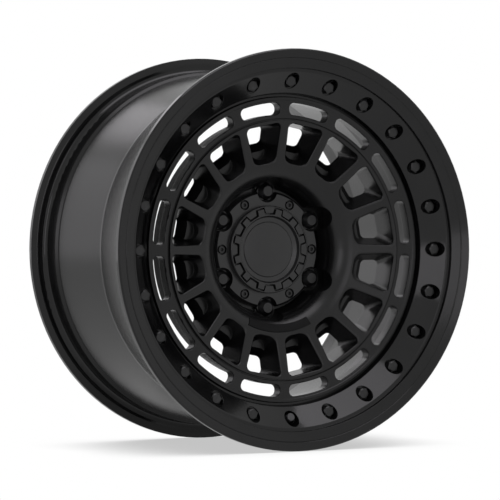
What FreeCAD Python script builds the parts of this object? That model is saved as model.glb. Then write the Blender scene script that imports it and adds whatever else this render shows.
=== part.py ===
import FreeCAD, Part
import math
import os
import Sketcher

# Off-road car wheel: one casting with a bolted-look outer ring, a slotted and windowed disc, a centre cap,
# lug nuts and a tyre valve. Every body is drawn with its Y axis along the axle and Y = 0 at the front lip,
# then set back so that the hub face lies in the plane Y = 0, with the open front towards -Y and +Z up.

doc = FreeCAD.newDocument("car_wheel")

# Driving sizes, in millimetres and degrees
SIZES = [
    ("rim_overall", 250.0, "front lip to rear lip"),
    ("wheel_offset", 0.0, "hub face forward of the rim's middle"),
    ("bead_width", 228.6, "between the two bead flanges, nine inches"),
    ("bead_seat_r", 218.3, "seventeen inch bead seat at the flange"),
    ("seat_taper", 1.5, "fall of the bead seat along its length"),
    ("seat_length", 16.0, "bead seat, flange root to hump"),
    ("hump_height", 1.2, "safety hump above the seat's low end"),
    ("flange_root", 6.5, "radius between flange and bead seat"),
    ("front_flange_r", 236.4, "outer radius of the front lip"),
    ("rear_flange_r", 236.4, "outer radius of the rear lip"),
    ("flange_land", 9.0, "height of the flange's upright face above its root"),
    ("flange_curl", 6.0, "how far the flange tip curls away from the tyre"),
    ("lip_bevel", 1.6, "bevel round the outside of both lips"),
    ("lip_line_r", 225.6, "thin line round the lip's face"),
    ("lip_line", 0.7, "width and depth of that line"),
    ("lip_inner_r", 213.9, "inner edge of the lip's face"),
    ("lip_fall", 6.5, "depth of that inner edge"),
    ("ring_outer_r", 210.0, "outer edge of the conical ring"),
    ("ring_outer_depth", 11.6, "depth of that edge"),
    ("ring_inner_r", 185.3, "inner edge of the conical ring"),
    ("ring_inner_depth", 32.2, "depth of that edge"),
    ("ring_round", 2.6, "rounding of the ring's outer edge"),
    ("ring_edge", 1.2, "rounding of the ring's inner edge"),
    ("lip_wall_lean", 0.4, "lean of the wall between lip and ring"),
    ("channel_depth", 41.5, "floor of the channel between disc and ring"),
    ("channel_lean", 0.8, "lean of each of the channel's walls"),
    ("disc_depth", 37.0, "depth of the disc's flat"),
    ("trim_outer_r", 180.6, "outer edge of the raised trim line"),
    ("trim_inner_r", 177.5, "inner edge of the raised trim line"),
    ("trim_height", 0.8, "height of the trim line"),
    ("groove_r", 155.4, "outer edge of the groove inside the slots"),
    ("groove_width", 1.9, "width of that groove"),
    ("groove_depth", 2.0, "depth of that groove below the disc's flat"),
    ("spoke_depth", 34.5, "depth of the spokes' outer ends"),
    ("bowl_corner_r", 80.6, "where the spoke cone would meet the bowl's wall"),
    ("bowl_corner_depth", 54.3, "depth of that corner"),
    ("bowl_round", 31.5, "rounding from spokes into bowl"),
    ("well_r", 74.0, "foot of the bowl's wall at the hub pad"),
    ("pad_depth", 92.0, "front of the hub pad"),
    ("hub_bore_r", 53.05, "centre bore"),
    ("bore_chamfer", 1.5, "chamfer at the rear of the centre bore"),
    ("hub_pad_r", 81.0, "hub face"),
    ("spoke_root_r", 116.0, "back of the spokes at the hub"),
    ("spoke_root_depth", 79.0, "depth of that edge"),
    ("rib_depth", 71.0, "back of the spokes' outer rib"),
    ("rib_inner_r", 151.0, "inner edge of that rib"),
    ("rib_outer_r", 157.5, "outer edge of that rib"),
    ("slot_web", 15.0, "thickness of the disc at the slots"),
    ("barrel_wall", 7.0, "barrel wall"),
    ("drop_r", 205.0, "outside of the drop well"),
    ("drop_front_depth", 113.0, "front of the drop well's floor"),
    ("drop_rear_depth", 116.0, "rear of the drop well's floor"),
    ("shoulder", 5.0, "from the humps to the barrel's slopes"),
    ("barrel_front_r", 215.5, "front end of the barrel's slope"),
    ("barrel_rear_r", 214.6, "rear end of the barrel's slope"),
    ("drop_round", 2.0, "rounding of the drop well's two bends"),
    ("barrel_round", 12.0, "rounding of the bends inside the barrel"),
    ("back_round", 9.0, "rounding behind the disc"),
    ("window_count", 16.0, "windows, spokes and slots"),
    ("window_outer_r", 148.8, "outer edge of a window"),
    ("window_margin", 6.0, "how far a window's two outlines stand clear of the spokes"),
    ("window_front_r", 84.0, "inner end of a window's front outline"),
    ("window_back_r", 136.0, "inner end of a window's back outline"),
    ("window_front_gap", 6.8, "between two front outlines at their outer ends"),
    ("window_root_gap", 2.0, "between two front outlines at their inner ends"),
    ("window_back_width", 26.0, "outer end of the back outline, across the spokes"),
    ("window_back_round", 5.0, "inner corners of a window's back outline"),
    ("window_round", 6.0, "corners of a window, but for the inner ones in front"),
    ("window_inner_round", 13.5, "inner corners of a window's front outline"),
    ("window_edge", 2.4, "rounding of a window's front edge"),
    ("scoop_r", 11.0, "round recess in a window's inner end"),
    ("scoop_place_r", 119.5, "middle of that recess, from the axle"),
    ("scoop_floor", 66.0, "depth of the recess's floor"),
    ("scoop_height", 16.0, "height of the cut in front of that floor"),
    ("slot_outer_r", 174.4, "outer edge of a slot"),
    ("slot_inner_r", 160.0, "inner edge of a slot"),
    ("slot_bridge", 12.6, "bridge between two slots"),
    ("slot_round", 6.4, "corners of a slot"),
    ("slot_edge", 1.5, "rounding of a slot's front edge"),
    ("bolt_count", 24.0, "places round the ring, one of them the valve's"),
    ("bolt_circle_r", 199.3, "circle of the ring's bolts"),
    ("pocket_r", 9.0, "pocket round a ring bolt"),
    ("pocket_floor", 29.3, "depth of the pockets' floor"),
    ("bolt_head", 12.7, "across the flats of a ring bolt"),
    ("bolt_head_height", 8.0, "height of a ring bolt's head"),
    ("bolt_shank_r", 4.0, "shank of a ring bolt"),
    ("bolt_shank", 12.0, "length of that shank"),
    ("head_chamfer", 1.1, "chamfer of a hex head's corners"),
    ("thread_gap", 0.3, "clear all round a shank in its hole"),
    ("lug_count", 6.0, "wheel studs"),
    ("lug_circle_r", 69.85, "half of the stud circle"),
    ("lug_hole_r", 7.5, "stud hole"),
    ("lug_seat_r", 11.2, "mouth of the nut's conical seat"),
    ("lug_seat", 6.4, "depth of that seat, a sixty degree cone"),
    ("lug_pocket_r", 16.2, "room for a socket round a nut"),
    ("nut_hex", 20.8, "across the flats of a lug nut"),
    ("nut_end_depth", 78.7, "depth of a nut's outer end"),
    ("nut_end_r", 6.0, "flat at a nut's outer end"),
    ("nut_shoulder", 6.5, "tapered end of a nut"),
    ("nut_bore_r", 7.2, "threaded bore of a nut"),
    ("nut_floor", 3.0, "closed end of a nut"),
    ("seat_gap", 0.3, "clear between nut and wheel round the cone's mouth"),
    ("cap_r", 70.0, "cap plate"),
    ("cap_depth", 80.6, "front of the cap plate"),
    ("cap_bevel", 2.6, "bevel round the cap plate"),
    ("scallop_r", 13.6, "notch in the cap plate round a lug nut"),
    ("cap_web", 6.0, "thickness of the cap under its insert"),
    ("cap_rim", 12.6, "width of the cap's seat on the pad, inside its bevel"),
    ("drum_r", 52.4, "raised drum of the cap"),
    ("drum_depth", 74.2, "front of the drum"),
    ("drum_wall", 1.7, "thin rim round the drum's recess"),
    ("drum_floor", 80.0, "floor of the drum's recess"),
    ("tooth_count", 12.0, "teeth inside the drum"),
    ("tooth_inner_r", 43.6, "inner face of a tooth"),
    ("tooth_root", 15.0, "width of a tooth at the rim"),
    ("tooth_tip", 9.6, "width of a tooth at its inner face"),
    ("tooth_depth", 74.8, "front of a tooth"),
    ("tooth_sink", 0.3, "how far a tooth's root runs into the drum's rim"),
    ("tooth_gap", 2.0, "gap between the drum's teeth and the insert"),
    ("insert_depth", 73.4, "front of the insert's raised rim"),
    ("insert_rim_r", 40.4, "inner edge of that rim"),
    ("insert_slope_r", 38.4, "foot of the slope inside the rim"),
    ("insert_slope_depth", 77.0, "depth of that foot"),
    ("dome_r", 32.4, "edge of the domed centre"),
    ("dome_edge_depth", 77.6, "depth of that edge"),
    ("dome_line", 0.9, "line round the dome"),
    ("dome_depth", 74.8, "depth of the dome's middle"),
    ("dome_round", 165.0, "rounding of the dome"),
    ("screw_circle_r", 61.2, "circle of the cap screws"),
    ("screw_recess_r", 6.1, "recess round a cap screw's head"),
    ("screw_recess", 5.4, "depth of that recess"),
    ("screw_head_r", 4.3, "cap screw's head"),
    ("screw_head", 5.0, "height of that head"),
    ("screw_socket", 4.0, "across the flats of the screw's socket"),
    ("screw_socket_depth", 2.4, "depth of that socket"),
    ("screw_shank_r", 2.5, "cap screw's shank"),
    ("screw_shank", 18.0, "length of that shank"),
    ("valve_tilt", 16.8, "lean of the valve, outwards towards the tyre"),
    ("valve_seat", 44.0, "depth of the valve's seat"),
    ("valve_spot_r", 8.4, "spot face in front of the seat"),
    ("valve_hole_r", 5.75, "valve hole"),
    ("valve_web", 4.0, "wall that the valve snaps into"),
    ("valve_back_r", 9.0, "clearing behind that wall"),
    ("valve_back", 34.0, "length of that clearing"),
    ("valve_collar_r", 7.6, "rubber collar on the seat"),
    ("valve_collar", 3.0, "thickness of the collar"),
    ("valve_neck_r", 5.5, "rubber in the hole"),
    ("valve_body", 12.0, "rubber in front of the seat"),
    ("valve_tip_r", 4.7, "rubber at its front end"),
    ("valve_bulb_r", 7.9, "rubber behind the wall"),
    ("valve_bulb", 11.0, "length of that bulb"),
    ("stem_r", 3.85, "thread of the valve stem"),
    ("stem_core_r", 2.9, "stem inside the rubber"),
    ("stem_bore_r", 1.7, "bore of the stem"),
    ("stem_thread", 9.0, "length of the thread in front of the rubber"),
    ("core_r", 1.4, "valve core"),
    ("core_length", 16.0, "length of the core"),
    ("core_flange", 1.1, "head of the core, outside the stem's bore"),
    ("valve_cap_r", 4.9, "valve cap"),
    ("valve_cap_wall", 2.0, "closed end of the valve cap"),
    ("valve_cap_round", 1.4, "rounding of that end"),
    ("valve_fit", 0.15, "clear between the valve's pieces"),
]

sheet = doc.addObject("Spreadsheet::Sheet", "Sizes")
for row, (alias, value, note) in enumerate(SIZES, start=1):
    sheet.set("A%d" % row, alias)
    sheet.set("B%d" % row, str(value))
    sheet.set("C%d" % row, note)
    sheet.setAlias("B%d" % row, alias)
doc.recompute()
ALIASES = {alias for alias, _, _ in SIZES}
FLAT = 0.05  # how near an edge lies to the face that it is picked by
CHAMFER_LEAN = 45.0  # of the bolt heads


def cell(formula):
    """A formula in the sheet's aliases, as an expression that any object can hold."""
    words = []
    word = ""
    for letter in formula + " ":
        if letter.isalnum() or letter in "_.":
            word += letter
            continue
        words.append("Sizes." + word if word in ALIASES else word)
        words.append(letter)
        word = ""
    return "".join(words).strip()


def number(formula):
    """The present value of such a formula."""
    value = sheet.evalExpression(cell(formula))
    return float(value.Value) if hasattr(value, "Value") else float(value)


# Derived places, each a formula in the driving sizes
HUB_DEPTH = "(rim_overall / 2 - wheel_offset)"
FRONT_FLANGE = "((rim_overall - bead_width) / 2)"
REAR_FLANGE = "((rim_overall + bead_width) / 2)"
FRONT_SEAT_END = "(%s + flange_root + seat_length)" % FRONT_FLANGE
REAR_SEAT_END = "(%s - flange_root - seat_length)" % REAR_FLANGE
SEAT_LOW_R = "(bead_seat_r - seat_taper)"
HUMP_R = "(bead_seat_r - seat_taper + hump_height)"
WEB_DEPTH = "(disc_depth + slot_web)"
SPOKE_END_R = "(groove_r - groove_width)"
HALF_PITCH = "(180 deg / window_count)"


def attach(sketch, body, plane, offset=("0", "0", "0"), turn=None):
    """Puts a sketch on one of its body's origin planes, with a bound offset and a turn in the plane."""
    sketch.AttachmentSupport = (origin_part(body, plane), [""])
    sketch.MapMode = "FlatFace"
    if turn:
        about_normal = FreeCAD.Rotation(FreeCAD.Vector(0, 0, 1), 1)
        sketch.AttachmentOffset = FreeCAD.Placement(FreeCAD.Vector(), about_normal)
        sketch.setExpression("AttachmentOffset.Rotation.Angle", cell(turn))
    for axis, formula in zip("xyz", offset):
        if formula != "0":
            sketch.setExpression("AttachmentOffset.Base." + axis, cell(formula))


def origin_part(body, role):
    return next(part for part in body.Origin.OriginFeatures if part.Role == role)


def new_sketch(body, name, plane, offset=("0", "0", "0"), turn=None):
    sketch = body.newObject("Sketcher::SketchObject", name)
    attach(sketch, body, plane, offset, turn)
    return sketch


def bind(sketch, kind, first, first_end, second, second_end, formula):
    """A dimension between two points, bound to a formula."""
    dimension = Sketcher.Constraint(kind, first, first_end, second, second_end, number(formula))
    index = sketch.addConstraint(dimension)
    sketch.setExpression("Constraints[%d]" % index, cell(formula))


def place_point(sketch, geometry, end, x, y):
    """Holds one point of a sketch at formulas for x and y."""
    for kind, axis, formula in (("DistanceX", -2, x), ("DistanceY", -1, y)):
        if formula == "0":
            sketch.addConstraint(Sketcher.Constraint("PointOnObject", geometry, end, axis))
        else:
            bind(sketch, kind, -1, 1, geometry, end, formula)


def outline(sketch, corners):
    """A closed outline of straight runs; a corner may have a third formula, the radius that rounds it."""
    points = [FreeCAD.Vector(number(corner[0]), number(corner[1]), 0) for corner in corners]
    count = len(points)
    lines = []
    for start, end in zip(points, points[1:] + points[:1]):
        lines.append(sketch.addGeometry(Part.LineSegment(start, end)))
    for index in range(count):
        sketch.addConstraint(Sketcher.Constraint("Coincident", lines[index - 1], 2, lines[index], 1))
        place_point(sketch, lines[index], 1, corners[index][0], corners[index][1])
    for index, corner in enumerate(corners):
        if len(corner) == 3:
            before = (points[index - 1] + points[index]) / 2
            after = (points[(index + 1) % count] + points[index]) / 2
            sketch.fillet(lines[index - 1], lines[index], before, after, number(corner[2]), True, True)
            arc = max(i for i, g in enumerate(sketch.Geometry) if g.TypeId == "Part::GeomArcOfCircle")
            size = sketch.addConstraint(Sketcher.Constraint("Radius", arc, number(corner[2])))
            sketch.setExpression("Constraints[%d]" % size, cell(corner[2]))


def circle(sketch, x, y, radius):
    """A circle held at formulas for its centre and radius."""
    centre = FreeCAD.Vector(number(x), number(y), 0)
    ring = sketch.addGeometry(Part.Circle(centre, FreeCAD.Vector(0, 0, 1), number(radius)))
    place_point(sketch, ring, 3, x, y)
    size = sketch.addConstraint(Sketcher.Constraint("Radius", ring, number(radius)))
    sketch.setExpression("Constraints[%d]" % size, cell(radius))


def hexagon(sketch, x, y, across):
    """A regular hexagon about (x, y), from its width across the flats."""
    corner = "(%s / 2 / cos(30 deg))" % across
    outline(sketch, [
        ("%s + %s * cos(%d deg)" % (x, corner, angle), "%s + %s * sin(%d deg)" % (y, corner, angle))
        for angle in range(0, 360, 60)])


def new_body(name):
    body = doc.addObject("PartDesign::Body", name)
    body.Label = name
    body.Placement = FreeCAD.Placement(FreeCAD.Vector(), FreeCAD.Rotation(FreeCAD.Vector(0, 1, 0), 0))
    body.setExpression(".Placement.Base.y", cell("-1 * %s" % HUB_DEPTH))
    return body


def revolve(body, name, sketch, axis="V_Axis", cut=False):
    """A turned feature: added, or cut with a Groove."""
    kind = "PartDesign::Groove" if cut else "PartDesign::Revolution"
    feature = body.newObject(kind, name)
    feature.Profile = sketch
    feature.ReferenceAxis = (sketch, [axis])
    feature.Angle = 360
    feature.Refine = False
    return feature


def pad(body, name, sketch, length):
    """Adds material from a sketch square to the axle towards the front."""
    feature = body.newObject("PartDesign::Pad", name)
    feature.Profile = sketch
    feature.Refine = False
    feature.setExpression("Length", cell(length))
    return feature


def pocket(body, name, sketch, length):
    """Cuts from a sketch square to the axle towards the rear."""
    feature = body.newObject("PartDesign::Pocket", name)
    feature.Profile = sketch
    feature.Refine = False
    feature.setExpression("Length", cell(length))
    return feature


def pattern(body, name, features, count, angle="360 deg"):
    """Repeats features round the axle; the body ends at the pattern."""
    repeat = body.newObject("PartDesign::PolarPattern", name)
    repeat.Originals = features
    repeat.Refine = False
    repeat.Axis = (origin_part(body, "Y_Axis"), [""])
    repeat.setExpression("Occurrences", cell(count))
    repeat.setExpression("Angle", cell(angle))
    body.Tip = repeat
    return repeat


def checked_cut(feature, before):
    """Stops the build when a cut has removed nothing."""
    doc.recompute()
    if not feature.Shape.Volume < before - 1:
        raise RuntimeError(feature.Name + " cut nothing")
    return feature.Shape.Volume


def round_edges(body, name, base, chosen, radius):
    """Rounds the edges of a feature that a test picks out."""
    edges = ["Edge%d" % (i + 1) for i, edge in enumerate(base.Shape.Edges) if chosen(edge)]
    if not edges:
        raise RuntimeError(name + " found no edges")
    feature = body.newObject("PartDesign::Fillet", name)
    feature.Base = (base, edges)
    feature.Refine = False
    feature.setExpression("Radius", cell(radius))
    body.Tip = feature
    doc.recompute()
    return feature


def edge_points(edge):
    first, last = edge.ParameterRange
    return [edge.valueAt(first + (last - first) * step / 6) for step in range(7)]


def axle_radius(point):
    return math.hypot(point.x, point.z)


# The casting: barrel, ring, disc and hub in one turned section
wheel = new_body("wheel")
section = new_sketch(wheel, "WheelSection", "XY_Plane")
LIP_FACE_R = "(front_flange_r - lip_bevel)"
LINE_FALL = "((lip_line_r - %s) * lip_fall / (lip_inner_r - %s))" % (LIP_FACE_R, LIP_FACE_R)
outline(section, [
    ("hub_bore_r", "pad_depth"),
    ("well_r", "pad_depth"),
    ("bowl_corner_r", "bowl_corner_depth", "bowl_round"),
    (SPOKE_END_R, "spoke_depth"),
    (SPOKE_END_R, "disc_depth + groove_depth"),
    ("groove_r", "disc_depth + groove_depth"),
    ("groove_r", "disc_depth"),
    ("trim_inner_r - trim_height", "disc_depth"),
    ("trim_inner_r", "disc_depth - trim_height"),
    ("trim_outer_r", "disc_depth - trim_height"),
    ("trim_outer_r + channel_lean", "channel_depth"),
    ("ring_inner_r - channel_lean", "channel_depth"),
    ("ring_inner_r", "ring_inner_depth", "ring_edge"),
    ("ring_outer_r", "ring_outer_depth", "ring_round"),
    ("lip_inner_r - lip_wall_lean", "ring_outer_depth - lip_wall_lean"),
    ("lip_inner_r", "lip_fall"),
    ("lip_line_r - lip_line", LINE_FALL),
    ("lip_line_r", LINE_FALL + " + lip_line"),
    ("lip_line_r + lip_line", LINE_FALL),
    (LIP_FACE_R, "0"),
    ("front_flange_r", "lip_bevel", "lip_bevel"),
    ("front_flange_r", FRONT_FLANGE + " - flange_curl / 2"),
    ("bead_seat_r + flange_root + flange_land / 2", FRONT_FLANGE, "flange_curl"),
    ("bead_seat_r", FRONT_FLANGE, "flange_root"),
    (SEAT_LOW_R, FRONT_SEAT_END),
    (HUMP_R, FRONT_SEAT_END + " + shoulder / 2"),
    ("barrel_front_r", FRONT_SEAT_END + " + shoulder * 2"),
    ("drop_r", "drop_front_depth", "drop_round"),
    ("drop_r", "drop_rear_depth", "drop_round"),
    ("barrel_rear_r", REAR_SEAT_END + " - shoulder"),
    (HUMP_R, REAR_SEAT_END + " - shoulder / 2"),
    (SEAT_LOW_R, REAR_SEAT_END),
    ("bead_seat_r", REAR_FLANGE, "flange_root"),
    ("bead_seat_r + flange_root + flange_land / 2", REAR_FLANGE, "flange_curl"),
    ("rear_flange_r", REAR_FLANGE + " + flange_curl / 2"),
    ("rear_flange_r", "rim_overall - lip_bevel", "lip_bevel"),
    ("rear_flange_r - lip_bevel", "rim_overall"),
    (SEAT_LOW_R, "rim_overall"),
    ("barrel_rear_r - barrel_wall", REAR_FLANGE, "barrel_round"),
    ("barrel_rear_r - barrel_wall", REAR_SEAT_END + " - shoulder"),
    ("drop_r - barrel_wall", "drop_rear_depth", "barrel_round"),
    ("drop_r - barrel_wall", WEB_DEPTH + " + back_round"),
    ("ring_inner_r", WEB_DEPTH),
    ("rib_outer_r", WEB_DEPTH),
    ("rib_outer_r", "rib_depth"),
    ("rib_inner_r", "rib_depth"),
    ("spoke_root_r", "spoke_root_depth", "back_round"),
    ("hub_pad_r", HUB_DEPTH),
    ("hub_bore_r + bore_chamfer", HUB_DEPTH),
    ("hub_bore_r", HUB_DEPTH + " - bore_chamfer"),
])
casting = revolve(wheel, "Casting", section)
doc.recompute()
volume = casting.Shape.Volume


def window_outline(sketch, inner_r, inner_v, outer_v, inner_round):
    """One window between two spokes, its middle along the sketch's X axis."""
    outline(sketch, [
        (inner_r, "-1 * " + inner_v, inner_round),
        ("window_outer_r", "-1 * " + outer_v, "window_round"),
        ("window_outer_r", outer_v, "window_round"),
        (inner_r, inner_v, inner_round),
    ])


FRONT_ROOT_V = "(window_front_r * tan%s - window_root_gap / 2)" % HALF_PITCH
FRONT_OUTER_V = "(window_outer_r * tan%s - window_front_gap / 2)" % HALF_PITCH
SIDE_SLOPE = "((%s - %s) / (window_outer_r - window_front_r))" % (FRONT_OUTER_V, FRONT_ROOT_V)
BACK_OUTER_V = "(window_back_width / 2)"
BACK_ROOT_V = "(%s - (window_outer_r - window_back_r) * %s)" % (BACK_OUTER_V, SIDE_SLOPE)
window_front = new_sketch(wheel, "WindowFront", "XZ_Plane", ("0", "0", "window_margin - spoke_depth"),
                          HALF_PITCH)
window_outline(window_front, "window_front_r", FRONT_ROOT_V, FRONT_OUTER_V, "window_inner_round")
window_back = new_sketch(wheel, "WindowBack", "XZ_Plane", ("0", "0", "-1 * spoke_root_depth - window_margin"),
                         HALF_PITCH)
window_outline(window_back, "window_back_r", BACK_ROOT_V, BACK_OUTER_V, "window_back_round")
window = wheel.newObject("PartDesign::SubtractiveLoft", "Window")
window.Profile = window_front
window.Sections = [window_back]
window.Ruled = True
window.Refine = False
volume = checked_cut(window, volume)
windows = pattern(wheel, "Windows", [window], "window_count")
volume = checked_cut(windows, volume)


spoke_end = number(SPOKE_END_R)
spoke_front = number("spoke_depth")
spoke_fall = (number("bowl_corner_depth") - spoke_front) / (spoke_end - number("bowl_corner_r"))


def on_spoke_cone(edge):
    """True for a stretch of a window's front edge."""
    points = edge_points(edge)
    radii = [axle_radius(point) for point in points]
    whole_turn = max(radii) - min(radii) < FLAT and edge.Length > radii[0]
    return not whole_turn and all(
        abs(point.y - spoke_front - spoke_fall * (spoke_end - radius)) < FLAT and radius < spoke_end - FLAT
        for point, radius in zip(points, radii))


window_edges = round_edges(wheel, "WindowEdges", windows, on_spoke_cone, "window_edge")
volume = window_edges.Shape.Volume

# A round recess in the inner end of each window, open towards the front
scoop_sketch = new_sketch(wheel, "ScoopOutline", "XZ_Plane", ("0", "0", "scoop_height - scoop_floor"),
                          HALF_PITCH)
circle(scoop_sketch, "scoop_place_r", "0", "scoop_r")
scoop = pocket(wheel, "Scoop", scoop_sketch, "scoop_height")
scoops = pattern(wheel, "Scoops", [scoop], "window_count")
volume = checked_cut(scoops, volume)


def arc_slot(sketch):
    """One slot of the disc: two arcs about the axle, its ends parallel to the bridges."""
    lines = []
    ends = {}
    for side in (-1, 1):
        for name in ("slot_inner_r", "slot_outer_r"):
            lean = "(%s - asin(slot_bridge / 2 / %s))" % (HALF_PITCH, name)
            ends[name, side] = ("%s * cos%s" % (name, lean), "%d * %s * sin%s" % (side, name, lean))
        start, end = (FreeCAD.Vector(*(number(formula) for formula in ends[name, side]), 0)
                      for name in ("slot_inner_r", "slot_outer_r"))
        line = sketch.addGeometry(Part.LineSegment(start, end))
        place_point(sketch, line, 1, *ends["slot_inner_r", side])
        place_point(sketch, line, 2, *ends["slot_outer_r", side])
        lines.append(line)
    for end, name in ((1, "slot_inner_r"), (2, "slot_outer_r")):
        first, last = (FreeCAD.Vector(*(number(formula) for formula in ends[name, side]), 0)
                       for side in (-1, 1))
        middle = FreeCAD.Vector(number(name), 0, 0)
        arc = sketch.addGeometry(Part.Arc(first, middle, last))
        sketch.addConstraint(Sketcher.Constraint("Coincident", arc, 1, lines[0], end))
        sketch.addConstraint(Sketcher.Constraint("Coincident", arc, 2, lines[1], end))
        size = sketch.addConstraint(Sketcher.Constraint("Radius", arc, number(name)))
        sketch.setExpression("Constraints[%d]" % size, cell(name))


slot_sketch = new_sketch(wheel, "SlotOutline", "XZ_Plane", ("0", "0", "trim_height - disc_depth"), HALF_PITCH)
arc_slot(slot_sketch)
slot = pocket(wheel, "Slot", slot_sketch, "slot_web + 2 * trim_height")
slots = pattern(wheel, "Slots", [slot], "window_count")
volume = checked_cut(slots, volume)
slot_low = number("slot_inner_r") - 1
slot_high = number("slot_outer_r") + 1
slot_front = number("disc_depth")
slot_tall = number("slot_web") / 2


def slot_corner(edge):
    """True for an upright corner of a slot."""
    points = edge_points(edge)
    radii = [axle_radius(point) for point in points]
    return (max(radii) - min(radii) < FLAT and abs(points[0].y - points[-1].y) > slot_tall
            and slot_low < radii[0] < slot_high)


def on_slot_front(edge):
    """True for a stretch of a slot's front edge."""
    return all(abs(point.y - slot_front) < FLAT and slot_low < axle_radius(point) < slot_high
               for point in edge_points(edge))


slot_corners = round_edges(wheel, "SlotCorners", slots, slot_corner, "slot_round")
slot_edges = round_edges(wheel, "SlotEdges", slot_corners, on_slot_front, "slot_edge")
volume = slot_edges.Shape.Volume

# Pockets and tapped holes of the ring bolts; the valve takes the place straight down
FIRST_BOLT = "(270 deg - 360 deg / bolt_count)"
BOLT_SWEEP = "(360 deg - 720 deg / bolt_count)"
pocket_sketch = new_sketch(wheel, "PocketOutline", "XZ_Plane")
circle(pocket_sketch, "bolt_circle_r", "0", "pocket_r")
bolt_pocket = pocket(wheel, "BoltPocket", pocket_sketch, "pocket_floor")
bolt_pockets = pattern(wheel, "BoltPockets", [bolt_pocket], "bolt_count")
volume = checked_cut(bolt_pockets, volume)
tap_sketch = new_sketch(wheel, "TapOutline", "XZ_Plane", ("0", "0", "-1 * pocket_floor"), FIRST_BOLT)
circle(tap_sketch, "bolt_circle_r", "0", "bolt_shank_r + thread_gap")
tap = pocket(wheel, "BoltHole", tap_sketch, "bolt_shank + thread_gap")
taps = pattern(wheel, "BoltHoles", [tap], "bolt_count - 1", BOLT_SWEEP)
volume = checked_cut(taps, volume)

# Stud holes with conical seats, socket room round the nuts, and the cap screws' tapped holes
NUT_AXIS = ("0", "lug_circle_r", "0")
lug_sketch = new_sketch(wheel, "LugSection", "YZ_Plane", NUT_AXIS)
outline(lug_sketch, [
    ("spoke_depth", "0"),
    ("spoke_depth", "lug_pocket_r"),
    ("pad_depth", "lug_pocket_r"),
    ("pad_depth", "lug_seat_r"),
    ("pad_depth + lug_seat", "lug_hole_r"),
    (HUB_DEPTH + " + lug_seat", "lug_hole_r"),
    (HUB_DEPTH + " + lug_seat", "0"),
])
lug = revolve(wheel, "LugHole", lug_sketch, "H_Axis", cut=True)
lugs = pattern(wheel, "LugHoles", [lug], "lug_count")
volume = checked_cut(lugs, volume)
screw_sketch = new_sketch(wheel, "ScrewHoleOutline", "XZ_Plane", ("0", "0", "-1 * pad_depth"))
circle(screw_sketch, "screw_circle_r", "0", "screw_shank_r + thread_gap")
screw_hole = pocket(wheel, "ScrewHole", screw_sketch, "screw_shank")
screw_holes = pattern(wheel, "ScrewHoles", [screw_hole], "lug_count")
volume = checked_cut(screw_holes, volume)

# The valve's stepped hole leans out from the ring's pocket to the tyre's side of the barrel
VALVE_R = "(bolt_circle_r + (valve_seat - pocket_floor) * tan(valve_tilt * 1 deg))"
VALVE_AXIS = ("valve_seat", "-1 * " + VALVE_R, "0")
VALVE_TURN = "valve_tilt * -1 deg"
valve_sketch = new_sketch(wheel, "ValveSection", "YZ_Plane", VALVE_AXIS, VALVE_TURN)
outline(valve_sketch, [
    ("-1 * valve_body - stem_thread - valve_spot_r", "0"),
    ("-1 * valve_body - stem_thread - valve_spot_r", "valve_spot_r"),
    ("0", "valve_spot_r"),
    ("0", "valve_hole_r"),
    ("valve_web", "valve_hole_r"),
    ("valve_web", "valve_back_r"),
    ("valve_web + valve_back", "valve_back_r"),
    ("valve_web + valve_back", "0"),
])
valve_hole = revolve(wheel, "ValveHole", valve_sketch, "H_Axis", cut=True)
volume = checked_cut(valve_hole, volume)
wheel.Tip = valve_hole

# Ring bolts: chamfered hex heads on the pockets' floors
ring_bolts = new_body("ring_bolts")
CHAMFER_DEPTH = "(pocket_floor - bolt_head_height + head_chamfer)"
head_sketch = new_sketch(ring_bolts, "HeadOutline", "XZ_Plane", ("0", "0", "-1 * pocket_floor"), FIRST_BOLT)
hexagon(head_sketch, "bolt_circle_r", "0", "bolt_head")
head = pad(ring_bolts, "Head", head_sketch, "bolt_head_height - head_chamfer")
top_sketch = new_sketch(ring_bolts, "TopOutline", "XZ_Plane", ("0", "0", "-1 * " + CHAMFER_DEPTH), FIRST_BOLT)
circle(top_sketch, "bolt_circle_r", "0", "bolt_head / 2")
top = pad(ring_bolts, "Top", top_sketch, "head_chamfer")
top.TaperAngle = -CHAMFER_LEAN
shank_sketch = new_sketch(ring_bolts, "ShankOutline", "XZ_Plane", ("0", "0", "-1 * pocket_floor"), FIRST_BOLT)
circle(shank_sketch, "bolt_circle_r", "0", "bolt_shank_r")
shank = pad(ring_bolts, "Shank", shank_sketch, "bolt_shank")
shank.Reversed = True
pattern(ring_bolts, "Bolts", [head, top, shank], "bolt_count - 1", BOLT_SWEEP)

# Lug nuts: closed, tapered ends and conical seats
lug_nuts = new_body("lug_nuts")
nut_sketch = new_sketch(lug_nuts, "NutSection", "YZ_Plane", NUT_AXIS)
outline(nut_sketch, [
    ("nut_end_depth", "0"),
    ("nut_end_depth", "nut_end_r"),
    ("nut_end_depth + nut_shoulder", "nut_hex / 2"),
    ("pad_depth - seat_gap", "nut_hex / 2"),
    ("pad_depth + lug_seat - seat_gap", "lug_hole_r - seat_gap / 2"),
    ("pad_depth + lug_seat - seat_gap", "nut_bore_r"),
    ("nut_end_depth + nut_shoulder", "nut_bore_r"),
    ("nut_end_depth + nut_shoulder", "0"),
])
nut = revolve(lug_nuts, "Nut", nut_sketch, "H_Axis")
flats_sketch = new_sketch(lug_nuts, "FlatsOutline", "XZ_Plane", ("0", "0", "seat_gap - pad_depth"))
hexagon(flats_sketch, "0", "lug_circle_r", "nut_hex")
circle(flats_sketch, "0", "lug_circle_r", "nut_bore_r + nut_floor / 2")
flats = pad(lug_nuts, "Flats", flats_sketch, "pad_depth - seat_gap - nut_end_depth - nut_shoulder")
pattern(lug_nuts, "Nuts", [nut, flats], "lug_count")

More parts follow.
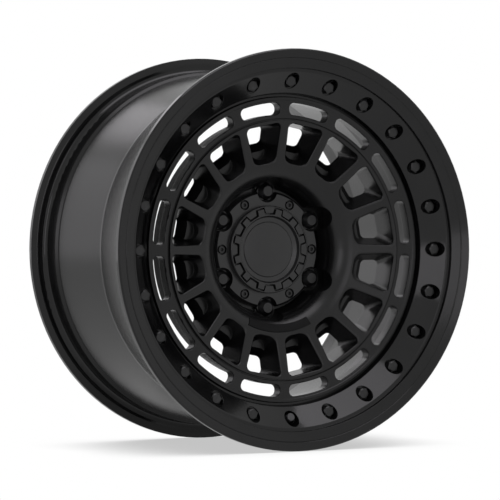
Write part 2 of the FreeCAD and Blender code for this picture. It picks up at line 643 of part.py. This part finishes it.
# Centre cap: scalloped plate with a toothed drum
cap_base = new_body("cap_base")
cap_sketch = new_sketch(cap_base, "CapSection", "XY_Plane")
outline(cap_sketch, [
    ("0", "drum_floor"),
    ("drum_r - drum_wall", "drum_floor"),
    ("drum_r - drum_wall", "drum_depth"),
    ("drum_r - drum_wall / 2", "drum_depth"),
    ("drum_r", "drum_depth + drum_wall / 2"),
    ("drum_r", "cap_depth"),
    ("cap_r - cap_bevel", "cap_depth"),
    ("cap_r", "cap_depth + cap_bevel"),
    ("cap_r", "pad_depth"),
    ("cap_r - cap_bevel - cap_rim", "pad_depth"),
    ("cap_r - cap_bevel - cap_rim", "drum_floor + cap_web"),
    ("0", "drum_floor + cap_web"),
])
cap = revolve(cap_base, "Cap", cap_sketch)


def tooth_outline(sketch, gap):
    """One tooth of the drum, or with a gap the insert's notch round it."""
    root = "(tooth_root / 2 + %s)" % gap
    tip = "(tooth_tip / 2 + %s)" % gap
    outline(sketch, [
        ("tooth_inner_r - " + gap, "-1 * " + tip),
        ("drum_r - drum_wall + tooth_sink", "-1 * " + root),
        ("drum_r - drum_wall + tooth_sink", root),
        ("tooth_inner_r - " + gap, tip),
    ])


tooth_sketch = new_sketch(cap_base, "ToothOutline", "XZ_Plane", ("0", "0", "-1 * drum_floor"))
tooth_outline(tooth_sketch, "0")
tooth = pad(cap_base, "Tooth", tooth_sketch, "drum_floor - tooth_depth")
teeth = pattern(cap_base, "Teeth", [tooth], "tooth_count")
doc.recompute()
volume = teeth.Shape.Volume
scallop_sketch = new_sketch(cap_base, "ScallopOutline", "XZ_Plane", ("0", "0", "-1 * drum_depth"))
circle(scallop_sketch, "0", "lug_circle_r", "scallop_r")
scallop = pocket(cap_base, "Scallop", scallop_sketch, "pad_depth")
scallops = pattern(cap_base, "Scallops", [scallop], "lug_count")
volume = checked_cut(scallops, volume)
recess_sketch = new_sketch(cap_base, "RecessOutline", "XZ_Plane", ("0", "0", "-1 * cap_depth"))
circle(recess_sketch, "screw_circle_r", "0", "screw_recess_r")
recess = pocket(cap_base, "Recess", recess_sketch, "screw_recess")
through_sketch = new_sketch(cap_base, "ThroughOutline", "XZ_Plane", ("0", "0", "-1 * cap_depth"))
circle(through_sketch, "screw_circle_r", "0", "screw_shank_r + thread_gap")
through = pocket(cap_base, "Through", through_sketch, "pad_depth - cap_depth")
recesses = pattern(cap_base, "Recesses", [recess, through], "lug_count")
volume = checked_cut(recesses, volume)

# Cap insert: notched rim, sunk ring and plain domed centre
cap_insert = new_body("cap_insert")
insert_sketch = new_sketch(cap_insert, "InsertSection", "XY_Plane")
outline(insert_sketch, [
    ("0", "dome_depth"),
    ("dome_r / 2", "dome_depth", "dome_round"),
    ("dome_r", "dome_edge_depth"),
    ("dome_r + dome_line", "dome_edge_depth + dome_line"),
    ("insert_slope_r", "insert_slope_depth"),
    ("insert_rim_r", "insert_depth"),
    ("drum_r - drum_wall - tooth_gap", "insert_depth"),
    ("drum_r - drum_wall - tooth_gap", "drum_floor"),
    ("0", "drum_floor"),
])
insert = revolve(cap_insert, "Insert", insert_sketch)
doc.recompute()
volume = insert.Shape.Volume
notch_sketch = new_sketch(cap_insert, "NotchOutline", "XZ_Plane", ("0", "0", "-1 * insert_depth"))
tooth_outline(notch_sketch, "tooth_gap")
notch = pocket(cap_insert, "Notch", notch_sketch, "drum_floor - insert_depth")
notches = pattern(cap_insert, "Notches", [notch], "tooth_count")
volume = checked_cut(notches, volume)

# Cap screws: socket heads in the plate's recesses
cap_screws = new_body("cap_screws")
SEAT_DEPTH = "(cap_depth + screw_recess)"
SCREW_TOP = "(cap_depth + screw_recess - screw_head)"
screw_section = new_sketch(cap_screws, "ScrewSection", "XY_Plane", ("screw_circle_r", "0", "0"))
outline(screw_section, [
    ("0", SCREW_TOP),
    ("screw_head_r - thread_gap", SCREW_TOP),
    ("screw_head_r", SCREW_TOP + " + thread_gap"),
    ("screw_head_r", SEAT_DEPTH),
    ("screw_shank_r", SEAT_DEPTH),
    ("screw_shank_r", "pad_depth + screw_shank - thread_gap"),
    ("0", "pad_depth + screw_shank - thread_gap"),
])
screw = revolve(cap_screws, "Screw", screw_section)
doc.recompute()
volume = screw.Shape.Volume
socket_sketch = new_sketch(cap_screws, "SocketOutline", "XZ_Plane", ("0", "0", "-1 * " + SCREW_TOP))
hexagon(socket_sketch, "screw_circle_r", "0", "screw_socket")
socket = pocket(cap_screws, "Socket", socket_sketch, "screw_socket_depth")
volume = checked_cut(socket, volume)
pattern(cap_screws, "Screws", [screw, socket], "lug_count")


def valve_piece(name, corners):
    """One turned piece of the valve, about the valve's own axis."""
    body = new_body(name)
    sketch = new_sketch(body, name + "_section", "YZ_Plane", VALVE_AXIS, VALVE_TURN)
    outline(sketch, corners)
    revolve(body, name + "_turned", sketch, "H_Axis")
    return body


# Snap-in tyre valve: rubber, stem, core and cap
STEM_TIP = "(-1 * valve_body - stem_thread)"
RUBBER_END = "(valve_web + valve_bulb)"
CORE_START = "(-1 * valve_body - stem_thread + core_flange)"
CAP_END = "(-1 * valve_body - stem_thread - valve_fit)"
valve_body = valve_piece("valve_body", [
    ("-1 * valve_body", "stem_core_r + valve_fit"),
    ("-1 * valve_body", "valve_tip_r", "valve_cap_round"),
    ("-1 * valve_collar", "valve_neck_r"),
    ("-1 * valve_collar", "valve_collar_r", "valve_cap_round"),
    ("0", "valve_collar_r"),
    ("0", "valve_neck_r"),
    ("valve_web", "valve_neck_r"),
    ("valve_web", "valve_bulb_r"),
    ("valve_web + valve_collar", "valve_bulb_r"),
    (RUBBER_END, "valve_tip_r"),
    (RUBBER_END, "stem_core_r + valve_fit"),
])
valve_stem = valve_piece("valve_stem", [
    (STEM_TIP, "stem_bore_r"),
    (STEM_TIP, "stem_r"),
    ("-1 * valve_body", "stem_r"),
    ("-1 * valve_body", "stem_core_r"),
    (RUBBER_END, "stem_core_r"),
    (RUBBER_END, "stem_bore_r"),
])
valve_core = valve_piece("valve_core", [
    (STEM_TIP, "0"),
    (STEM_TIP, "core_r / 2"),
    (CORE_START, "core_r / 2"),
    (CORE_START, "core_r"),
    (CORE_START + " + core_length", "core_r"),
    (CORE_START + " + core_length", "0"),
])
valve_cap = valve_piece("valve_cap", [
    (CAP_END + " - valve_cap_wall", "0"),
    (CAP_END + " - valve_cap_wall", "valve_cap_r", "valve_cap_round"),
    ("-1 * valve_body - valve_fit", "valve_cap_r"),
    ("-1 * valve_body - valve_fit", "stem_r + valve_fit"),
    (CAP_END, "stem_r + valve_fit"),
    (CAP_END, "0"),
])

# Every object has to be sound before anything is written
PARTS = [wheel, ring_bolts, lug_nuts, cap_base, cap_insert, cap_screws,
         valve_body, valve_stem, valve_core, valve_cap]
doc.recompute()
for item in doc.Objects:
    if "Invalid" in item.State or "Error" in item.State:
        raise RuntimeError("%s failed: %s" % (item.Name, item.State))
for part in PARTS:
    if part.Shape.isNull() or not part.Shape.isValid():
        raise RuntimeError(part.Label + " has no valid shape")

os.makedirs("parts", exist_ok=True)
for part in PARTS:
    part.Shape.exportStep("parts/%s.step" % part.Label)
    box = part.Shape.BoundBox
    print("%-12s solids %2d volume %9.0f  Y %7.1f to %6.1f  reach %6.1f" % (
        part.Label, len(part.Shape.Solids), part.Shape.Volume, box.YMin, box.YMax, max(box.XMax, box.ZMax)))
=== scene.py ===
import math
import bmesh
import bpy
from mathutils import Euler, Matrix, Vector


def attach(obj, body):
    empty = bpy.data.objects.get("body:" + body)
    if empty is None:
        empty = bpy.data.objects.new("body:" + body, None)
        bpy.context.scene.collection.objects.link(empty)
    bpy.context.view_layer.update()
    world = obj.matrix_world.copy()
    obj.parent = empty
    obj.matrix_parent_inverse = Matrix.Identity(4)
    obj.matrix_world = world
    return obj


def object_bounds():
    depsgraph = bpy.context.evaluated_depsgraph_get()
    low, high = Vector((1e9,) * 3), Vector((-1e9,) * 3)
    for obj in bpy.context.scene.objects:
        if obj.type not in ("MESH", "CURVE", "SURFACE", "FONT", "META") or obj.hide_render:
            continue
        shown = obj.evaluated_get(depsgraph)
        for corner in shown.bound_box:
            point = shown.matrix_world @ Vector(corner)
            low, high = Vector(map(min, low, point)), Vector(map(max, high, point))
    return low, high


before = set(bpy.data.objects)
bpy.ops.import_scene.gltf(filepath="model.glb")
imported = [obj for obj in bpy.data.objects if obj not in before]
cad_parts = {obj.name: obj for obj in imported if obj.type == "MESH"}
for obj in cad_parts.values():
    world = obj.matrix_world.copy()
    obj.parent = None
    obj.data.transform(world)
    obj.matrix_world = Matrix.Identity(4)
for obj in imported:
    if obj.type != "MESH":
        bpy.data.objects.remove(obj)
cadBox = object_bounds()
scene = bpy.context.scene
scene.view_settings.view_transform = "Standard"
print("frame loaded:", len(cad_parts), "nodes")


# node helpers, used by every finish below
def newTree(name):
    finish = bpy.data.materials.new(name)
    finish.use_nodes = True
    finish.node_tree.nodes.clear()
    return finish, finish.node_tree


def addNode(tree, kind, inputs=None, **settings):
    node = tree.nodes.new(kind)
    for key, value in settings.items():
        setattr(node, key, value)
    for key, value in (inputs or {}).items():
        if isinstance(value, bpy.types.NodeSocket):
            tree.links.new(value, node.inputs[key])
        else:
            node.inputs[key].default_value = value
    return node


def maths(tree, operation, first, second=0.0):
    return addNode(tree, "ShaderNodeMath", {0: first, 1: second}, operation=operation).outputs[0]


def varied(tree, base, value, spread):  # base plus a share of a pattern
    return maths(tree, "ADD", base, maths(tree, "MULTIPLY", value, spread))


def blendRange(tree, value, low, high, outLow, outHigh):
    limits = {"Value": value, "From Min": low, "From Max": high, "To Min": outLow, "To Max": outHigh}
    return addNode(tree, "ShaderNodeMapRange", limits, interpolation_type="SMOOTHSTEP").outputs["Result"]


def mixColour(tree, factor, first, second):
    return addNode(tree, "ShaderNodeMix", {0: factor, 6: first, 7: second}, data_type="RGBA").outputs[2]


def objectPoint(tree):
    return addNode(tree, "ShaderNodeTexCoord").outputs["Object"]


def noise(tree, point, scale, detail=3.0, rough=0.5):
    settings = {"Vector": point, "Scale": scale, "Detail": detail, "Roughness": rough}
    return addNode(tree, "ShaderNodeTexNoise", settings).outputs["Fac"]


def bump(tree, height, strength, distance, edge=0.0004):  # edge: rounding of sharp edges, in metres
    rounded = addNode(tree, "ShaderNodeBevel", {"Radius": edge}, samples=6).outputs["Normal"]
    settings = {"Height": height, "Strength": strength, "Distance": distance, "Normal": rounded}
    return addNode(tree, "ShaderNodeBump", settings).outputs["Normal"]


def grey(level):
    return (level, level, level * 1.04, 1.0)


def surface(tree, colour, roughness, normal, **fixed):
    shader = addNode(tree, "ShaderNodeBsdfPrincipled",
                     {"Base Color": colour, "Roughness": roughness, "Normal": normal})
    for key, value in fixed.items():
        shader.inputs[key].default_value = value
    out = addNode(tree, "ShaderNodeOutputMaterial")
    tree.links.new(shader.outputs[0], out.inputs[0])


def backgroundRay(tree):  # 1 where the background is seen directly, mirrored or through something clear
    path = addNode(tree, "ShaderNodeLightPath").outputs
    mirrored = maths(tree, "MAXIMUM", path["Is Glossy Ray"], path["Is Transmission Ray"])
    return maths(tree, "MAXIMUM", path["Is Camera Ray"], mirrored)


# painted casting: gloss on the ring and the lips, satin on the disc and the barrel
paint = {
    "black": 0.0022, "dust": 0.0045, "dustFrom": 0.35, "dustTo": 0.7,
    "glossRough": 0.1, "satinRough": 0.25, "barrelRough": 0.22, "cloudRough": 0.06, "ior": 1.34,
    "ringRadius": 0.1825, "ringDepth": -0.075, "rearLip": 0.106, "edge": 0.0012,  # where gloss meets satin
    "barrelRadius": 0.193, "barrelBlend": 0.004,
    "grainScale": 1500.0, "peelScale": 240.0, "peelShare": 0.35, "cloudScale": 14.0,
    "bump": 0.1, "bumpDepth": 0.0004, "edgeRound": 0.0009,
}


def castingPaint():
    finish, tree = newTree("castingPaint")
    point = objectPoint(tree)
    x, y, z = addNode(tree, "ShaderNodeSeparateXYZ", {"Vector": point}).outputs
    squares = maths(tree, "ADD", maths(tree, "MULTIPLY", x, x), maths(tree, "MULTIPLY", z, z))
    radius = maths(tree, "SQRT", squares)

    def step(value, place, before, after):
        return blendRange(tree, value, place - paint["edge"], place + paint["edge"], before, after)

    outside = step(radius, paint["ringRadius"], 0, 1)
    front = step(y, paint["ringDepth"], 1, 0)
    rear = step(y, paint["rearLip"], 0, 1)
    gloss = maths(tree, "MULTIPLY", outside, maths(tree, "MAXIMUM", front, rear))
    grain = noise(tree, point, paint["grainScale"], 2.0)
    peel = noise(tree, point, paint["peelScale"], 2.0)
    cloud = noise(tree, point, paint["cloudScale"], 4.0, 0.6)
    barrel = blendRange(tree, radius, paint["barrelRadius"], paint["barrelRadius"] + paint["barrelBlend"], 0, 1)
    satin = varied(tree, paint["satinRough"], barrel, paint["barrelRough"] - paint["satinRough"])
    satin = varied(tree, satin, maths(tree, "SUBTRACT", cloud, 0.5), paint["cloudRough"])
    roughness = addNode(tree, "ShaderNodeMix", {0: gloss, 2: satin, 3: paint["glossRough"]}).outputs[0]
    dusty = blendRange(tree, cloud, paint["dustFrom"], paint["dustTo"], 0, 1)
    colour = mixColour(tree, dusty, grey(paint["black"]), grey(paint["dust"]))
    grainy = maths(tree, "MULTIPLY", grain, maths(tree, "SUBTRACT", 1.0, gloss))
    height = varied(tree, grainy, peel, paint["peelShare"])
    normal = bump(tree, height, paint["bump"], paint["bumpDepth"], paint["edgeRound"])
    surface(tree, colour, roughness, normal, IOR=paint["ior"])
    return finish


# coated steel of bolts, nuts and screws, with paler worn patches
steel = {
    "black": 0.005, "worn": 0.016, "wornFrom": 0.5, "wornTo": 0.75, "rough": 0.3, "roughSpread": 0.12, "ior": 1.4,
    "grainScale": 1800.0, "patchScale": 120.0, "bump": 0.1, "bumpDepth": 0.0003,
}


def coatedSteel():
    finish, tree = newTree("coatedSteel")
    point = objectPoint(tree)
    grain = noise(tree, point, steel["grainScale"], 2.0)
    patch = noise(tree, point, steel["patchScale"], 3.0, 0.6)
    worn = blendRange(tree, patch, steel["wornFrom"], steel["wornTo"], 0, 1)
    colour = mixColour(tree, worn, grey(steel["black"]), grey(steel["worn"]))
    roughness = varied(tree, steel["rough"], patch, steel["roughSpread"])
    surface(tree, colour, roughness, bump(tree, grain, steel["bump"], steel["bumpDepth"]), IOR=steel["ior"])
    return finish


# moulded plastic of the cap, finely grained
moulding = {
    "black": 0.004, "pale": 0.008, "rough": 0.25, "roughSpread": 0.08, "ior": 1.45,
    "grainScale": 2200.0, "patchScale": 40.0, "bump": 0.12, "bumpDepth": 0.0003,
}


def capMoulding():
    finish, tree = newTree("capMoulding")
    point = objectPoint(tree)
    grain = noise(tree, point, moulding["grainScale"], 1.0)
    patch = noise(tree, point, moulding["patchScale"], 3.0)
    colour = mixColour(tree, patch, grey(moulding["black"]), grey(moulding["pale"]))
    roughness = varied(tree, moulding["rough"], patch, moulding["roughSpread"])
    normal = bump(tree, grain, moulding["bump"], moulding["bumpDepth"])
    surface(tree, colour, roughness, normal, IOR=moulding["ior"])
    return finish


# valve: rubber body, plastic cap, brass stem and core
rubber = {
    "black": 0.012, "bloom": 0.02, "rough": 0.62, "roughSpread": 0.15, "ior": 1.5,
    "speckScale": 900.0, "bump": 0.2, "bumpDepth": 0.0003,
}


def valveRubber():
    finish, tree = newTree("valveRubber")
    speck = noise(tree, objectPoint(tree), rubber["speckScale"], 3.0, 0.7)
    colour = mixColour(tree, speck, grey(rubber["black"]), grey(rubber["bloom"]))
    roughness = varied(tree, rubber["rough"], speck, rubber["roughSpread"])
    surface(tree, colour, roughness, bump(tree, speck, rubber["bump"], rubber["bumpDepth"]), IOR=rubber["ior"])
    return finish


dustCap = {
    "black": 0.03, "pale": 0.045, "rough": 0.35, "roughSpread": 0.1, "ior": 1.48,
    "speckScale": 1400.0, "bump": 0.1, "bumpDepth": 0.0002,
}


def valveCapPlastic():
    finish, tree = newTree("valveCapPlastic")
    speck = noise(tree, objectPoint(tree), dustCap["speckScale"], 2.0)
    colour = mixColour(tree, speck, grey(dustCap["black"]), grey(dustCap["pale"]))
    roughness = varied(tree, dustCap["rough"], speck, dustCap["roughSpread"])
    surface(tree, colour, roughness, bump(tree, speck, dustCap["bump"], dustCap["bumpDepth"]), IOR=dustCap["ior"])
    return finish


brass = {
    "bright": (0.55, 0.4, 0.17, 1.0), "dull": (0.42, 0.3, 0.12, 1.0), "rough": 0.28, "roughSpread": 0.15,
    "turnScale": 600.0, "stretch": (1.0, 12.0, 1.0), "bump": 0.1, "bumpDepth": 0.0002,
}


def turnedBrass():
    finish, tree = newTree("turnedBrass")
    mapping = addNode(tree, "ShaderNodeMapping", {"Vector": objectPoint(tree), "Scale": brass["stretch"]})
    turning = noise(tree, mapping.outputs[0], brass["turnScale"], 2.0)
    colour = mixColour(tree, turning, brass["bright"], brass["dull"])
    roughness = varied(tree, brass["rough"], turning, brass["roughSpread"])
    surface(tree, colour, roughness, bump(tree, turning, brass["bump"], brass["bumpDepth"]), Metallic=1.0)
    return finish


finishes = {
    "castingPaint": (castingPaint(), ["wheel"]),
    "coatedSteel": (coatedSteel(), ["ring_bolts", "lug_nuts", "cap_screws"]),
    "capMoulding": (capMoulding(), ["cap_base", "cap_insert"]),
    "valveRubber": (valveRubber(), ["valve_body"]),
    "valveCapPlastic": (valveCapPlastic(), ["valve_cap"]),
    "turnedBrass": (turnedBrass(), ["valve_stem", "valve_core"]),
}
for finish, nodeNames in finishes.values():
    for nodeName in nodeNames:
        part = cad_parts[nodeName]
        part.data.materials.clear()
        part.data.materials.append(finish)
print("finishes set:", ", ".join(finishes))


# bare arc plate on the bowl, below the cap: it follows the rounding from spokes into bowl
bowlPlate = {
    "roundR": 0.0315, "middleR": 0.1082, "middleY": -0.0455,  # the bowl's rounding, in the section through the axle
    "from": 18.5, "to": 37.0, "steps": 8,  # stretch of that rounding, in degrees from the front
    "halfTurn": 25.5, "turnSteps": 40,  # reach round the axle to each side, in degrees
    "rise": 0.0011, "sink": 0.0006, "edge": 0.0003, "sharpFrom": 50.0,
    "black": 0.002, "pale": 0.005, "rough": 0.5, "roughSpread": 0.15, "ior": 1.2,
    "grainScale": 1500.0, "bump": 0.35, "bumpDepth": 0.0005,
}


def platePaint():
    finish, tree = newTree("platePaint")
    grain = noise(tree, objectPoint(tree), bowlPlate["grainScale"], 2.0)
    colour = mixColour(tree, grain, grey(bowlPlate["black"]), grey(bowlPlate["pale"]))
    roughness = varied(tree, bowlPlate["rough"], grain, bowlPlate["roughSpread"])
    normal = bump(tree, grain, bowlPlate["bump"], bowlPlate["bumpDepth"])
    surface(tree, colour, roughness, normal, IOR=bowlPlate["ior"])
    return finish


def arcPlate():
    mesh = bmesh.new()
    stretch = bowlPlate["to"] - bowlPlate["from"]
    angles = [math.radians(bowlPlate["from"] + stretch * step / bowlPlate["steps"])
              for step in range(bowlPlate["steps"] + 1)]

    def section(reach, order):
        return [mesh.verts.new((0, bowlPlate["middleY"] - reach * math.cos(angle),
                                reach * math.sin(angle) - bowlPlate["middleR"])) for angle in order]

    loop = section(bowlPlate["roundR"] + bowlPlate["rise"], angles)
    loop += section(bowlPlate["roundR"] - bowlPlate["sink"], reversed(angles))
    start = mesh.faces.new(loop)
    half = math.radians(bowlPlate["halfTurn"])
    bmesh.ops.rotate(mesh, verts=mesh.verts, cent=(0, 0, 0), matrix=Matrix.Rotation(-half, 3, "Y"))
    bmesh.ops.spin(mesh, geom=[start], cent=(0, 0, 0), axis=(0, 1, 0), angle=2 * half,
                   steps=bowlPlate["turnSteps"], use_duplicate=False)
    bmesh.ops.remove_doubles(mesh, verts=mesh.verts, dist=1e-6)
    bmesh.ops.recalc_face_normals(mesh, faces=mesh.faces)
    sharpFrom = math.radians(bowlPlate["sharpFrom"])
    sharp = [edge for edge in mesh.edges if edge.is_manifold and edge.calc_face_angle() > sharpFrom]
    bmesh.ops.bevel(mesh, geom=sharp, offset=bowlPlate["edge"], offset_type="OFFSET", segments=2, profile=0.5,
                    affect="EDGES", material=-1)
    for face in mesh.faces:
        face.smooth = True
    data = bpy.data.meshes.new("bowlPlate")
    mesh.to_mesh(data)
    mesh.free()
    plate = bpy.data.objects.new("bowlPlate", data)
    scene.collection.objects.link(plate)
    data.materials.append(platePaint())
    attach(plate, "root")


arcPlate()
print("bowl plate made")


# floor: white where it is seen or mirrored, shaded under the wheel
floorSet = {"size": 14.0, "pale": 0.8, "shadow": 0.55, "shadowReach": 0.14, "shadowFrom": 0.2, "shadowTo": 0.92}


def paleFloor():
    bpy.ops.mesh.primitive_plane_add(size=floorSet["size"], location=(0, 0, cadBox[0][2]))
    floor = bpy.context.object
    floor.name = "floor"
    finish, tree = newTree("paleFloor")
    shade = addNode(tree, "ShaderNodeAmbientOcclusion", {"Distance": floorSet["shadowReach"]}).outputs["AO"]
    level = blendRange(tree, shade, floorSet["shadowFrom"], floorSet["shadowTo"], floorSet["shadow"], 1.0)
    seen = addNode(tree, "ShaderNodeEmission", {"Color": level, "Strength": 1.0})
    lighting = addNode(tree, "ShaderNodeBsdfDiffuse", {"Color": grey(floorSet["pale"])})
    mix = addNode(tree, "ShaderNodeMixShader", {0: backgroundRay(tree), 1: lighting.outputs[0], 2: seen.outputs[0]})
    out = addNode(tree, "ShaderNodeOutputMaterial")
    tree.links.new(mix.outputs[0], out.inputs[0])
    floor.data.materials.append(finish)


paleFloor()
print("floor laid")

# studio: white where it is seen or mirrored; its light is dimmer, and brighter from above
studio = {
    "front": 0.36, "back": 0.26, "frontFrom": -0.6, "backFrom": 0.6,
    "overhead": 0.6, "overheadFrom": 0.5, "tint": (1.0, 0.965, 1.02),
}
softBoxes = {
    "leftBack": {"place": (-2.2, 3.2, 0.5), "size": (2.6, 3.2), "radiance": 0.6},
    "backTop": {"place": (-0.35, 3.6, 2.45), "size": (1.4, 1.0), "radiance": 1.4},
    "right": {"place": (3.8, 1.0, 0.3), "size": (2.0, 2.4), "radiance": 1.2},
    "overhead": {"place": (0.2, -0.9, 3.0), "size": (2.6, 2.0), "radiance": 2.4},
    "front": {"place": (-0.5, -4.4, 0.4), "size": (1.2, 2.8), "radiance": 1.4},
    "leftFront": {"place": (-3.6, -2.9, 0.3), "size": (1.4, 2.8), "radiance": 2.0},
}


def studioWorld():
    world = bpy.data.worlds.new("studio")
    scene.world = world
    world.use_nodes = True
    tree = world.node_tree
    tree.nodes.clear()
    direction = addNode(tree, "ShaderNodeTexCoord").outputs["Generated"]
    _, along, height = addNode(tree, "ShaderNodeSeparateXYZ", {"Vector": direction}).outputs
    around = blendRange(tree, along, studio["frontFrom"], studio["backFrom"], studio["front"], studio["back"])
    above = blendRange(tree, height, 0.0, studio["overheadFrom"], 0.0, studio["overhead"] - studio["front"])
    dim = addNode(tree, "ShaderNodeBackground", {"Color": maths(tree, "ADD", around, above), "Strength": 1.0})
    white = addNode(tree, "ShaderNodeBackground", {"Color": (1, 1, 1, 1), "Strength": 1.0})
    mix = addNode(tree, "ShaderNodeMixShader", {0: backgroundRay(tree), 1: dim.outputs[0], 2: white.outputs[0]})
    out = addNode(tree, "ShaderNodeOutputWorld")
    tree.links.new(mix.outputs[0], out.inputs[0])


def softBox(name, setting):
    lamp = bpy.data.lights.new(name, "AREA")
    lamp.shape = "RECTANGLE"
    lamp.size, lamp.size_y = setting["size"]
    lamp.color = studio["tint"]
    lamp.energy = setting["radiance"] * math.pi * lamp.size * lamp.size_y
    holder = bpy.data.objects.new(name, lamp)
    holder.location = setting["place"]
    holder.rotation_euler = (-Vector(setting["place"])).to_track_quat("-Z", "Y").to_euler()  # aimed at the wheel
    scene.collection.objects.link(holder)


studioWorld()
for boxName, boxSetting in softBoxes.items():
    softBox(boxName, boxSetting)
print("studio lit:", len(softBoxes), "soft boxes")

# camera: fitted to the two rim ellipses of the photograph
viewpoint = {"place": (-1.627, -2.9964, 0.0345), "turn": -28.51, "drop": 0.598, "lens": 202.67, "sensor": 36.0}


def photoCamera():
    data = bpy.data.cameras.new("photoCamera")
    data.lens = viewpoint["lens"]
    data.sensor_width = viewpoint["sensor"]
    data.sensor_fit = "HORIZONTAL"
    holder = bpy.data.objects.new("photoCamera", data)
    holder.location = viewpoint["place"]
    holder.rotation_euler = Euler((math.radians(90 - viewpoint["drop"]), 0, math.radians(viewpoint["turn"])))
    scene.collection.objects.link(holder)
    scene.camera = holder


photoCamera()
print("camera set")
